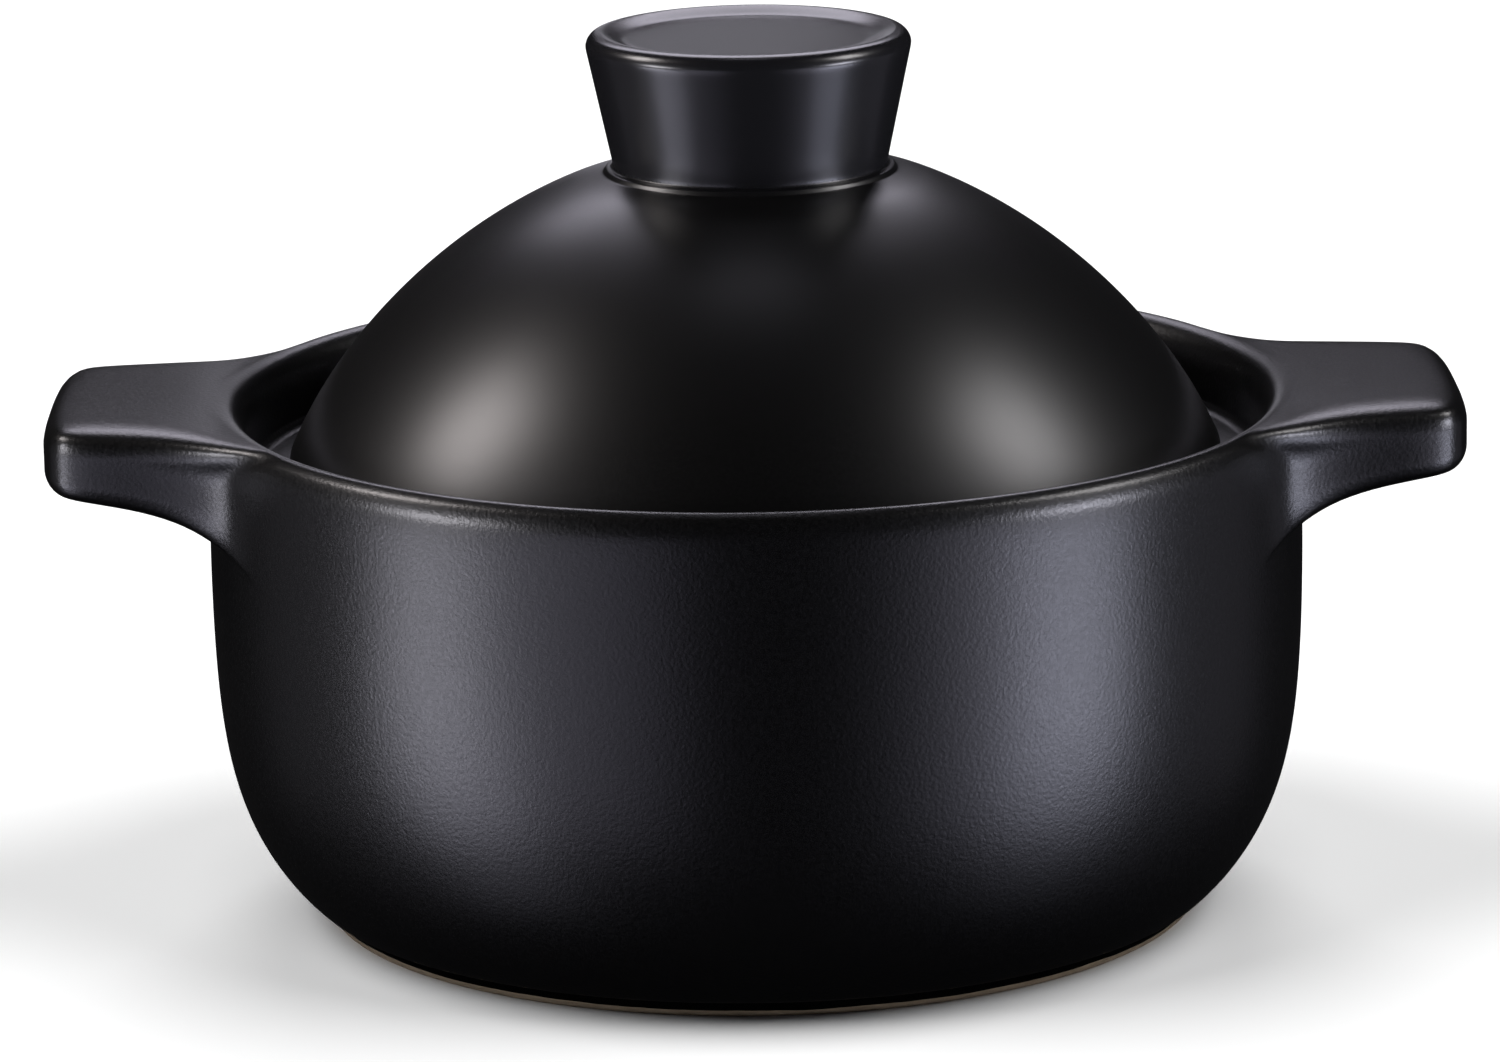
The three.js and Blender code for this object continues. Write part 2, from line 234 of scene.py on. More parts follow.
@dataclass
class LugHandle:
    """A lug drawn out of the bowl's wall, with a tight fillet at its root, soft edges and a bowed end.

    Attributes:
        half_columns: Columns of the bowl's cage from its middle to its side.
        rows: Rows of the bowl's cage from its top to its underside.
        crest: Height of the rim that it leaves.
        rise: How much higher its top climbs.
        crest_radius: Where the climb starts.
        rise_reach: How soon the climb levels off.
        top_round: Depth of the rounding along its top edge.
        top_roll: Width of the same rounding.
        under_round: Rounding along its lower edge.
        corner_pull: Share of a rounding by which its corner is drawn in.
        brow_shares: For each row, how much of the brow's flare it takes.
        stations: Its sections, from the wall outwards.
        end_face: How far out and across each column of its end lies, from the middle to one side.
        end_underside: Height of its underside at the end.
    """

    half_columns: int = 6
    rows: int = 9
    crest: float = BOWL_HIGH.z - CREST_DROP
    rise: float = LUG_HIGH.z - BOWL_HIGH.z + CREST_DROP
    crest_radius: float = 0.0980
    rise_reach: float = 0.0055
    top_round: float = 0.0044
    top_roll: float = 0.0068
    under_round: float = 0.0032
    corner_pull: float = 0.22
    brow_shares: tuple[float, ...] = (1.0, 0.6, 0.3, 0.1, 0.0, 0.0, 0.0, 0.0, 0.0, 0.0)
    stations: tuple[Station, ...] = (
        Station(0.1012, (0.0905, 0.0455), (0.0868, 0.0462), 0.0732, 0.25),
        Station(0.1029, (0.0940, 0.0391), (0.0918, 0.0424), 0.0751, 0.55),
        Station(0.1055, (0.0982, 0.0360), (0.0974, 0.0386), 0.0774, 0.80),
        Station(0.1102, (0.1046, 0.0338), (0.1048, 0.0348), 0.0799, 1.0),
        Station(0.1172, (0.1132, 0.0323), (0.1134, 0.0326), 0.0820, 1.0),
        Station(0.1262, (0.1224, 0.0311), (0.1225, 0.0311), 0.0832, 1.0),
    )
    end_face: tuple[Pair, ...] = (
        (0.1305, 0.0), (0.1305, 0.0048), (0.13045, 0.0097), (0.1303, 0.0146), (0.1300, 0.0196),
        (0.1292, 0.0246), (0.1273, 0.0290),
    )
    end_underside: float = 0.0835

    def height(self, row: int, at_edge: bool, out: float, underside: float) -> float:
        """How high a row of the cage lies.

        Args:
            row: Row counted down from the top.
            at_edge: True where the row's point lies on a rounded edge.
            out: Distance out along the lug.
            underside: Height of the section's underside.

        Returns:
            Height above the table.
        """
        beyond = max(0.0, out - self.crest_radius)
        top = self.crest + self.rise * (1.0 - math.exp(-beyond / self.rise_reach))
        pull = self.corner_pull if at_edge else 0.0
        if row == 0:
            return top - self.top_round * pull
        if row == self.rows:
            return underside + self.under_round * pull
        return blend(top - self.top_round, underside + self.under_round, (row - 1) / (self.rows - 2))

    def place(self, station: int, row: int, column: int, root_height: float) -> Vector:
        """Where a point of the cage lies in the lug's own axes.

        Args:
            station: Index of the section, counted out from the wall; the last is the end face.
            row: Row counted down from the top.
            column: Column counted from the lug's middle, negative on its near side.
            root_height: Height of the wall's point that it grows from.

        Returns:
            Distances out, to the side and up.
        """
        side = math.copysign(1.0, column)
        at_edge = abs(column) == self.half_columns
        rim_row = row in (0, self.rows)
        if station == len(self.stations):
            out, across = self.end_face[abs(column)]
            drawn_in = self.corner_pull * self.top_round if rim_row else 0.0
            height = self.height(row, True, out, self.end_underside)
            return Vector((out - drawn_in, side * across, height))
        cut = self.stations[station]
        share = self.brow_shares[row]
        side_out, half = (blend(low, high, share) for low, high in zip(cut.side, cut.brow))
        edge = self.top_round if row == 0 else self.under_round
        flat = half - self.top_roll if row == 0 else half - edge
        inner = flat * abs(column) / (self.half_columns - 1)
        across = half - (self.corner_pull * edge if rim_row else 0.0) if at_edge else inner
        out = cut.middle - (cut.middle - side_out) * (across / half) ** 2
        height = self.height(row, at_edge, out, cut.underside)
        if at_edge:
            height = blend(root_height, height, cut.settled)
        return Vector((out, side * across, height))

    def draw_out(self, bm: BMesh, wheel: Wheel, crest: int, middle: int) -> None:
        """Extrudes one lug from the cage of the bowl.

        Args:
            bm: The bowl's cage.
            wheel: The wheel that it was turned on.
            crest: Row of the rim's crest.
            middle: Column at the lug's middle.
        """
        row = bm.verts.layers.int["row"]
        column = bm.verts.layers.int["column"]
        half = wheel.columns // 2
        turned = Matrix.Rotation(middle * wheel.step, 3, "Z")

        def offset(vert: bmesh.types.BMVert) -> int:
            """Columns from the lug's middle, negative on its near side."""
            return (vert[column] - middle + half) % wheel.columns - half

        def inside(vert: bmesh.types.BMVert) -> bool:
            """Whether a vertex of the bowl belongs to the lug's root."""
            return crest - self.rows <= vert[row] <= crest and abs(offset(vert)) <= self.half_columns

        root = [f for f in bm.faces if all(inside(v) for v in f.verts)]
        wall = {v[row]: v.co.z for f in root for v in f.verts}
        for station in range(len(self.stations) + 1):
            grown = bmesh.ops.extrude_face_region(bm, geom=root)["geom"]
            bmesh.ops.delete(bm, geom=[f for f in root if f.is_valid], context="FACES")
            for vert in (g for g in grown if isinstance(g, bmesh.types.BMVert)):
                vert.co = turned @ self.place(station, crest - vert[row], offset(vert), wall[vert[row]])
            root = [g for g in grown if isinstance(g, bmesh.types.BMFace)]


@dataclass
class GlazedPot:
    """Bowl and lugs under one coat of glaze: a rounded belly, an upright wall and a ledge inside the rim.

    Attributes:
        columns: Columns in a full turn.
        wall_radius: Radius of the upright wall.
        base: Height of the underside.
        rim: Height of the CAD rim.
        underside_radii: Rows of the flat underside.
        heel_radius: Where the belly starts.
        heel_turn: How far out and up the first point above the heel lies.
        belly_low: Radius and height of the belly's lower handle.
        belly_high: Height of its upper handle, on the wall.
        belly_steps: Points along the belly's curve.
        belly_top: Height below which the curve's points are used.
        lip: Drop below the rim and lean inwards of each row from the wall to the crest.
        lip_overhang: Lean of the crest.
        lip_low: Drop at which the belly's curve ends.
        inner_lip: Width of the rounding inside the crest.
        inner_lip_drop: Depth of the same rounding.
        gallery_radius: Radius inside the rim, above the ledge.
        gallery_middle: Height of the row between lip and ledge.
        ledge: Height of the ledge that carries the lid.
        ledge_fillet: Fillet between the ledge and the gallery's wall.
        ledge_radii: Rows along the ledge.
        nose_radius: Inner radius of the ledge.
        nose_thickness: Thickness of the ledge's nose.
        nose_round: Rounding on top of the nose.
        nose_bevel: Size of the softer edge below the nose.
        nose_face: How far above that edge the nose's face ends.
        undercut: Radius and height of the rows below the ledge.
        cavity_radius: Inner radius of the wall.
        cavity_top: Height at which the inner curve starts.
        cavity_high: Height of the inner curve's upper handle, on the wall.
        cavity_low: Radius of its lower handle, on the floor.
        cavity_steps: Points along the inner curve.
        floor: Height of the floor inside.
        floor_radius: Where the inner curve meets the floor.
        floor_radii: Rows of the floor.
    """

    columns: int = 72
    wall_radius: float = BOWL_HIGH.x
    base: float = BOWL_LOW.z
    rim: float = BOWL_HIGH.z
    underside_radii: tuple[float, ...] = (0.0, 0.030, 0.058, 0.074, 0.0805, 0.0829, 0.0840)
    heel_radius: float = 0.0847
    heel_turn: Pair = (0.0002, 0.0005)
    belly_low: Pair = (0.10236, 0.0207)
    belly_high: float = 0.0399
    belly_steps: int = 15
    belly_top: float = 0.068
    lip: tuple[Pair, ...] = (
        (0.0253, 0.0), (0.0120, 0.0), (0.0075, 0.00006), (0.0052, 0.00018), (0.0040, 0.00035),
        (0.0030, 0.00063), (0.0020, 0.00106), (0.00135, 0.00150), (0.00078, 0.0022), (CREST_DROP, 0.0031),
    )
    lip_overhang: float = 0.0031
    lip_low: float = 0.0054
    inner_lip: float = 0.0039
    inner_lip_drop: float = 0.0062
    gallery_radius: float = 0.09415
    gallery_middle: float = 0.0885
    ledge: float = 0.0818
    ledge_fillet: float = 0.0025
    ledge_radii: tuple[float, ...] = (0.0880, 0.0850)
    nose_radius: float = 0.08165
    nose_thickness: float = 0.0050
    nose_round: float = 0.0015
    nose_bevel: float = 0.0008
    nose_face: float = 0.001
    undercut: tuple[Pair, ...] = ((0.0875, 0.07095), (0.0918, 0.06665))
    cavity_radius: float = 0.09355
    cavity_top: float = 0.0629
    cavity_high: float = 0.0249
    cavity_low: float = 0.088
    cavity_steps: int = 11
    floor: float = 0.0123
    floor_radius: float = 0.060
    floor_radii: tuple[float, ...] = (0.040, 0.020, 0.0)

    def outside(self) -> Profile:
        """Draws the outer half of the bowl's profile.

        Returns:
            Points from the middle of the underside to the rim's crest.
        """
        underside = [at(radius, self.base) for radius in self.underside_radii]
        turn_out, turn_up = self.heel_turn
        heel = [at(self.heel_radius + turn_out, self.base + turn_up)]
        belly = interpolate_bezier(
            at(self.heel_radius, self.base), at(*self.belly_low), at(self.wall_radius, self.belly_high),
            at(self.wall_radius, self.rim - self.lip_low), self.belly_steps,
        )
        lip = [at(self.wall_radius - lean, self.rim - drop) for drop, lean in self.lip]
        return underside + heel + [p for p in belly[1:] if p.z < self.belly_top] + lip

    def inside(self) -> Profile:
        """Draws the inner half of the bowl's profile.

        Returns:
            Points from just inside the rim's crest to the middle of the floor.
        """
        lip_centre = at(self.wall_radius - self.lip_overhang, self.rim - CREST_DROP - self.inner_lip_drop)
        lip = arc(lip_centre, -self.inner_lip, self.inner_lip_drop, 90.0, 0.0, steps=4)[1:]
        wall = [at(self.gallery_radius, self.gallery_middle)]
        r = self.ledge_fillet
        fillet = arc(at(self.gallery_radius - r, self.ledge + r), r, r, 0.0, -90.0, steps=4)
        ledge = [at(radius, self.ledge) for radius in self.ledge_radii]
        r = self.nose_round
        nose = arc(at(self.nose_radius + r, self.ledge - r), r, r, 90.0, 180.0, steps=3)
        nose_low = self.ledge - self.nose_thickness
        nose += [
            at(self.nose_radius, nose_low + self.nose_face),
            at(self.nose_radius + self.nose_bevel, nose_low - self.nose_bevel),
        ]
        undercut = [at(*spot) for spot in self.undercut]
        cavity = interpolate_bezier(
            at(self.cavity_radius, self.cavity_top), at(self.cavity_radius, self.cavity_high),
            at(self.cavity_low, self.floor), at(self.floor_radius, self.floor), self.cavity_steps,
        )
        floor = [at(radius, self.floor) for radius in self.floor_radii]
        return lip + wall + fillet + ledge + nose + undercut + cavity + floor

    def build(self, finish: bpy.types.Material) -> bpy.types.Object:
        """Turns the bowl, draws out both lugs and dresses them.

        Args:
            finish: The glaze.

        Returns:
            The piece that stands for the bowl and both lugs.
        """
        wheel = Wheel(self.columns)
        outside = self.outside()
        bm = wheel.turn(outside + self.inside())
        crest = len(outside) - 1
        for middle in (0, self.columns // 2):
            LugHandle().draw_out(bm, wheel, crest, middle)
        piece = publish(bm, "glazed_pot", finish, Body.POT)
        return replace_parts(piece, "pot_bowl", "left_handle", "right_handle")


@dataclass
class TurnedFoot:
    """The ring that the pot stands on, wiped clean of glaze along its lower edge.

    Attributes:
        columns: Columns in a full turn.
        radius: Outer radius where the glaze lies.
        low: Height of its underside.
        high: Height of its top.
        width: Width of the ring.
        edge_round: Rounding of its edges.
        bead: Thickness of the glaze's edge over the bare clay.
        bead_height: Height of that edge.
        bead_half: Half the height over which it tapers.
        flat_inset: Distance from a side to the nearest row of the flats.
    """

    columns: int = 96
    radius: float = FOOT_HIGH.x
    low: float = FOOT_LOW.z
    high: float = FOOT_HIGH.z
    width: float = 0.010
    edge_round: float = 0.0006
    bead: float = 0.00012
    bead_height: float = 0.0011
    bead_half: float = 0.0002
    flat_inset: float = 0.003

    def build(self, finish: bpy.types.Material) -> bpy.types.Object:
        """Turns the ring and dresses it.

        Args:
            finish: Bare clay below a glaze line.

        Returns:
            The piece that stands for the foot ring.
        """
        r = self.edge_round
        inner = self.radius - self.width
        skin = self.radius - self.bead
        bead = [
            at(skin, self.bead_height - self.bead_half), at(self.radius, self.bead_height + self.bead_half),
        ]
        top = [at(self.radius - self.flat_inset, self.high), at(inner + self.flat_inset, self.high)]
        underside = [at(inner + self.flat_inset, self.low), at(skin - self.flat_inset, self.low)]
        profile = (
            arc(at(skin - r, self.low + r), r, r, -90.0, 0.0, steps=3)
            + bead
            + arc(at(self.radius - r, self.high - r), r, r, 0.0, 90.0, steps=3)
            + top
            + arc(at(inner + r, self.high - r), -r, r, 90.0, 0.0, steps=3)
            + arc(at(inner + r, self.low + r), -r, r, 0.0, -90.0, steps=3)
            + underside
        )
        bm = Wheel(self.columns).turn(profile, closed=True)
        piece = publish(bm, "turned_foot", finish, Body.POT)
        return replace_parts(piece, "foot_ring")


@dataclass
class GlazedLid:
    """Domed lid and its flared, dished knob under one coat of glaze.

    A skirt below the lip drops inside the pot's ledge.

    Attributes:
        columns: Columns in a full turn.
        radius: Radius of the lip.
        apex: Height of the dome's crown, under the knob.
        seat: Height of the lip's underside.
        lip_height: Height of the lip's upright edge.
        lip_round: Rounding under the lip.
        lip_rows: Heights of the edge's rows, from its top.
        dome_high: Radius of the dome's upper handle, level with the crown.
        dome_low: Radius and height of its lower handle.
        dome_steps: Points along the dome's curve.
        dome_from: Radius past which the curve's points are used.
        thickness: Thickness of the dome at the crown.
        skirt_radius: Outer radius of the skirt.
        skirt_low: Height of its lower edge.
        skirt_thickness: Its thickness.
        skirt_round: Rounding of its lower edge.
        skirt_corner: How far out and down the corner between lip and skirt is softened.
        hollow_foot: Height at which the hollow starts above the skirt.
        hollow_low: Radius and height of the hollow's lower handle.
        hollow_high: Radius of its upper handle.
        hollow_steps: Points along the hollow's curve.
        knob_base_radius: Radius of the knob's foot.
        knob_top_radius: Largest radius of the knob.
        knob_base: Height of its foot.
        knob_top: Height of its crest.
        knob_fillet: Height of the fillet at its foot.
        knob_edge_round: Depth of the rounding outside its crest.
        knob_edge_turn: First and last angle of the same rounding.
        knob_crest: Radius of its crest.
        flank_shares: Rows of its flank, as shares of the way down.
        dish_radii: Rows of the dish's flat.
        dish_radius: Where the swell from the dish to the crest starts.
        dish_depth: Depth of the dish.
        swell_shares: Rows of the swell, as shares of its width.
        collar: Radius and height of the rows that join knob and dome.
        groove: Depth of the soft groove round the collar.
        groove_radius: Where the groove is deepest.
        groove_reach: How far out it runs.
    """

    columns: int = 72
    radius: float = DOME_HIGH.x
    apex: float = DOME_HIGH.z
    seat: float = 0.0821
    lip_height: float = 0.0033
    lip_round: float = 0.0012
    lip_rows: Pair = (0.0003, -0.0012)
    dome_high: float = 0.0459
    dome_low: Pair = (0.0776, 0.1069)
    dome_steps: int = 33
    dome_from: float = 0.0296
    thickness: float = 0.006
    skirt_radius: float = 0.08045
    skirt_low: float = DOME_LOW.z
    skirt_thickness: float = 0.0045
    skirt_round: float = 0.001
    skirt_corner: Pair = (0.0015, 0.0012)
    hollow_foot: float = 0.0835
    hollow_low: Pair = (0.0705, 0.1030)
    hollow_high: float = 0.0425
    hollow_steps: int = 15
    knob_base_radius: float = 0.0253
    knob_top_radius: float = KNOB_HIGH.x
    knob_base: float = 0.1382
    knob_top: float = KNOB_HIGH.z
    knob_fillet: float = 0.0009
    knob_edge_round: float = 0.0026
    knob_edge_turn: Pair = (66.0, -10.0)
    knob_crest: float = 0.0272
    flank_shares: tuple[float, ...] = (0.12, 0.36, 0.62, 0.86, 0.97)
    dish_radii: tuple[float, ...] = (0.0, 0.009, 0.017, 0.0206)
    dish_radius: float = 0.0222
    dish_depth: float = 0.0013
    swell_shares: tuple[float, ...] = (0.1, 0.35, 0.6, 0.85, 1.0)
    collar: tuple[Pair, ...] = (
        (0.02532, 0.1388), (0.0254, 0.1385), (0.0257, 0.13828), (0.0261, 0.13822),
        (0.02655, 0.13808), (0.0268, 0.1377), (0.0271, 0.13732), (0.0278, 0.1371),
    )
    groove: float = 0.0003
    groove_radius: float = 0.0282
    groove_reach: float = 0.009

    def knob(self) -> Profile:
        """Draws the knob's part of the profile.

        Returns:
            Points from the middle of the dish to the foot of the knob's flank.
        """
        low = self.knob_top - self.dish_depth
        dish = [at(radius, low) for radius in self.dish_radii]
        swell = [
            at(blend(self.dish_radius, self.knob_crest, share), blend(low, self.knob_top, ease(share)))
            for share in self.swell_shares
        ]
        edge = arc(
            at(self.knob_crest, self.knob_top - self.knob_edge_round),
            self.knob_top_radius - self.knob_crest, self.knob_edge_round, *self.knob_edge_turn, steps=4,
        )
        foot = at(self.knob_base_radius, self.knob_base + self.knob_fillet)
        flank = [edge[-1].lerp(foot, share) for share in self.flank_shares]
        return dish + swell + edge + flank

    def dome(self) -> Profile:
        """Draws the dome's part of the profile.

        Returns:
            Points from the knob's foot over the dome to the lip's lower edge.
        """
        low = self.seat + self.lip_height
        curve = interpolate_bezier(
            at(0.0, self.apex), at(self.dome_high, self.apex), at(*self.dome_low), at(self.radius, low),
            self.dome_steps,
        )
        slope = [p for p in curve[:-1] if p.x > self.dome_from]
        for point in slope:
            nearness = max(0.0, 1.0 - (point.x - self.groove_radius) / self.groove_reach)
            point.z -= self.groove * nearness**2
        collar = [at(*spot) for spot in self.collar]
        lip = [at(self.radius, low + row) for row in self.lip_rows]
        r = self.lip_round
        under = arc(at(self.radius - r, self.seat + r), r, r, 0.0, -90.0, steps=3)
        return collar + slope + lip + under

    def underneath(self) -> Profile:
        """Draws the hidden part of the profile.

        Returns:
            Points from the lip's underside round the skirt to the middle of the hollow.
        """
        out, down = self.skirt_corner
        corner = [at(self.skirt_radius + out, self.seat), at(self.skirt_radius, self.seat - down)]
        r = self.skirt_round
        inner = self.skirt_radius - self.skirt_thickness
        outer_edge = arc(at(self.skirt_radius - r, self.skirt_low + r), r, r, 0.0, -90.0, steps=3)
        inner_edge = arc(at(inner + r, self.skirt_low + r), -r, r, -90.0, 0.0, steps=3)
        crown = self.apex - self.thickness
        hollow = interpolate_bezier(
            at(inner, self.hollow_foot), at(*self.hollow_low), at(self.hollow_high, crown), at(0.0, crown),
            self.hollow_steps,
        )
        return corner + outer_edge + inner_edge + hollow

    def build(self, finish: bpy.types.Material) -> bpy.types.Object:
        """Turns dome and knob and dresses them.

        Args:
            finish: The glaze.

        Returns:
            The piece that stands for the dome and the knob.
        """
        bm = Wheel(self.columns).turn(self.knob() + self.dome() + self.underneath())
        piece = publish(bm, "glazed_lid", finish, Body.LID)
        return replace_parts(piece, "lid_dome", "lid_knob")


def colour_mix(tree: bpy.types.NodeTree, low: Colour, high: Colour) -> bpy.types.Node:
    """Adds a mix of two colours.

    Args:
        tree: The nodes to add it to.
        low: Colour at a factor of 0, unless one is linked.
        high: Colour at a factor of 1.

    Returns:
        The new node.
    """
    mix = tree.nodes.new("ShaderNodeMix")
    mix.data_type = "RGBA"
    mix.inputs["A"].default_value = (*low, 1.0)
    mix.inputs["B"].default_value = (*high, 1.0)
    return mix


def ramp(
    tree: bpy.types.NodeTree, source: bpy.types.NodeSocket, given: Pair, wanted: Pair,
) -> bpy.types.NodeSocket:
    """Maps one range of a value to another.

    Args:
        tree: The nodes to add to.
        source: Socket of the value.
        given: Lowest and highest value that count.
        wanted: What they become.

    Returns:
        Socket of the mapped value.
    """
    node = tree.nodes.new("ShaderNodeMapRange")
    node.inputs["From Min"].default_value, node.inputs["From Max"].default_value = given
    node.inputs["To Min"].default_value, node.inputs["To Max"].default_value = wanted
    tree.links.new(source, node.inputs["Value"])
    return node.outputs["Result"]


def own_height(tree: bpy.types.NodeTree) -> bpy.types.NodeSocket:
    """Reads a point's height in the piece's own coordinates.

    Args:
        tree: The nodes to add to.

    Returns:
        Socket of the height.
    """
    where = tree.nodes.new("ShaderNodeTexCoord")
    split = tree.nodes.new("ShaderNodeSeparateXYZ")
    tree.links.new(where.outputs["Object"], split.inputs["Vector"])
    return split.outputs["Z"]


def emboss(tree: bpy.types.NodeTree, pattern: bpy.types.NodeSocket, height: float) -> bpy.types.NodeSocket:
    """Raises a pattern out of the surface.

    Args:
        tree: The nodes to add to.
        pattern: Socket of the pattern.
        height: Height of its peaks.

    Returns:
        Socket of the bumped normal.
    """
    bump = tree.nodes.new("ShaderNodeBump")
    bump.inputs["Distance"].default_value = height
    tree.links.new(pattern, bump.inputs["Height"])
    return bump.outputs["Normal"]


class SkinGroup:
    """A shader node group for fired surfaces: slow drift, fine flecks and an orange peel."""

    NAME: ClassVar[str] = "fired_skin"
    LAYERS: ClassVar[dict[str, Pair]] = {"Drift": (3.0, 0.55), "Fleck": (2.0, 0.6), "Peel": (2.0, 0.5)}

    def __init__(self) -> None:
        """Builds the group once, with a noise of its own detail and roughness for each layer."""
        self.tree = bpy.data.node_groups.new(self.NAME, "ShaderNodeTree")
        for name in self.LAYERS:
            self.tree.interface.new_socket(f"{name} Scale", in_out="INPUT", socket_type="NodeSocketFloat")
        for name in self.LAYERS:
            self.tree.interface.new_socket(name, in_out="OUTPUT", socket_type="NodeSocketFloat")
        nodes, links = self.tree.nodes, self.tree.links
        given = nodes.new("NodeGroupInput")
        result = nodes.new("NodeGroupOutput")
        where = nodes.new("ShaderNodeTexCoord")
        for name, (detail, roughness) in self.LAYERS.items():
            noise = nodes.new("ShaderNodeTexNoise")
            noise.inputs["Detail"].default_value = detail
            noise.inputs["Roughness"].default_value = roughness
            links.new(where.outputs["Object"], noise.inputs["Vector"])
            links.new(given.outputs[f"{name} Scale"], noise.inputs["Scale"])
            links.new(noise.outputs["Fac"], result.inputs[name])

    def place(self, tree: bpy.types.NodeTree, drift: float, fleck: float, peel: float) -> bpy.types.Node:
        """Places the group in a material.

        Args:
            tree: The material's nodes.
            drift: Scale of the slow drift.
            fleck: Scale of the flecks.
            peel: Scale of the orange peel.

        Returns:
            The new group node.
        """
        group = tree.nodes.new("ShaderNodeGroup")
        group.node_tree = self.tree
        for name, scale in zip(self.LAYERS, (drift, fleck, peel)):
            group.inputs[f"{name} Scale"].default_value = scale
        return group


@dataclass(frozen=True)
class Glaze:
    """Near-black satin glaze with a fine orange peel.

    Attributes:
        name: Name of the material.
        colour: Its colour where it lies thick.
        thin_colour: Its colour where it lies thin.
        roughness: Lowest and highest roughness of the flecks.
        drift_scale: Scale of the slow drift of colour.
        fleck_scale: Scale of the flecks.
        peel_scale: Scale of the orange peel.
        peel_height: Height of the orange peel.
        painted_sheen_and_gloss_from: Height above which the glaze is smoothed by hands and painted lighter
            as a painted sheen, if anywhere.
        painted_sheen_colour: The lighter colour painted there, a painted sheen that stands in for light on
            the knob.
        handled_sheen: How much its roughness falls there.
    """

    FLECK_SPAN: ClassVar[Pair] = (0.35, 0.65)
    PAINTED_SHEEN_AND_GLOSS_FADE: ClassVar[float] = 0.001

    name: str
    colour: Colour = (0.0005, 0.0005, 0.0005)
    thin_colour: Colour = (0.0011, 0.001, 0.001)
    roughness: Pair = (0.295, 0.35)
    drift_scale: float = 14.0
    fleck_scale: float = 1500.0
    peel_scale: float = 1450.0
    peel_height: float = 0.00005
    painted_sheen_and_gloss_from: float | None = None
    painted_sheen_colour: Colour = (0.0055, 0.0055, 0.0064)
    handled_sheen: float = 0.09

    def material(self, skin: SkinGroup) -> bpy.types.Material:
        """Makes the glaze.

        Args:
            skin: The shared group for fired surfaces.

        Returns:
            A new material.
        """
        material = bpy.data.materials.new(self.name)
        material.use_nodes = True
        tree = material.node_tree
        group = skin.place(tree, self.drift_scale, self.fleck_scale, self.peel_scale)
        tone = colour_mix(tree, self.colour, self.thin_colour)
        tree.links.new(group.outputs["Drift"], tone.inputs["Factor"])
        colour = tone.outputs["Result"]
        roughness = ramp(tree, group.outputs["Fleck"], self.FLECK_SPAN, self.roughness)
        # Painted sheen: above this height the colour is lifted lighter to stand in for light on the knob;
        # the same mask lowers the roughness.
        if self.painted_sheen_and_gloss_from is not None:
            fade = (self.painted_sheen_and_gloss_from - self.PAINTED_SHEEN_AND_GLOSS_FADE, self.painted_sheen_and_gloss_from + self.PAINTED_SHEEN_AND_GLOSS_FADE)
            painted_sheen_and_gloss_mask = ramp(tree, own_height(tree), fade, (0.0, 1.0))
            painted_sheen_mix = colour_mix(tree, self.colour, self.painted_sheen_colour)
            tree.links.new(painted_sheen_and_gloss_mask, painted_sheen_mix.inputs["Factor"])
            tree.links.new(colour, painted_sheen_mix.inputs["A"])
            colour = painted_sheen_mix.outputs["Result"]
            sleek = tree.nodes.new("ShaderNodeMath")
            sleek.operation = "MULTIPLY_ADD"
            sleek.inputs[1].default_value = -self.handled_sheen
            tree.links.new(painted_sheen_and_gloss_mask, sleek.inputs[0])
            tree.links.new(roughness, sleek.inputs[2])
            roughness = sleek.outputs["Value"]
        shader = tree.nodes["Principled BSDF"]
        tree.links.new(colour, shader.inputs["Base Color"])
        tree.links.new(roughness, shader.inputs["Roughness"])
        tree.links.new(emboss(tree, group.outputs["Peel"], self.peel_height), shader.inputs["Normal"])
        return material


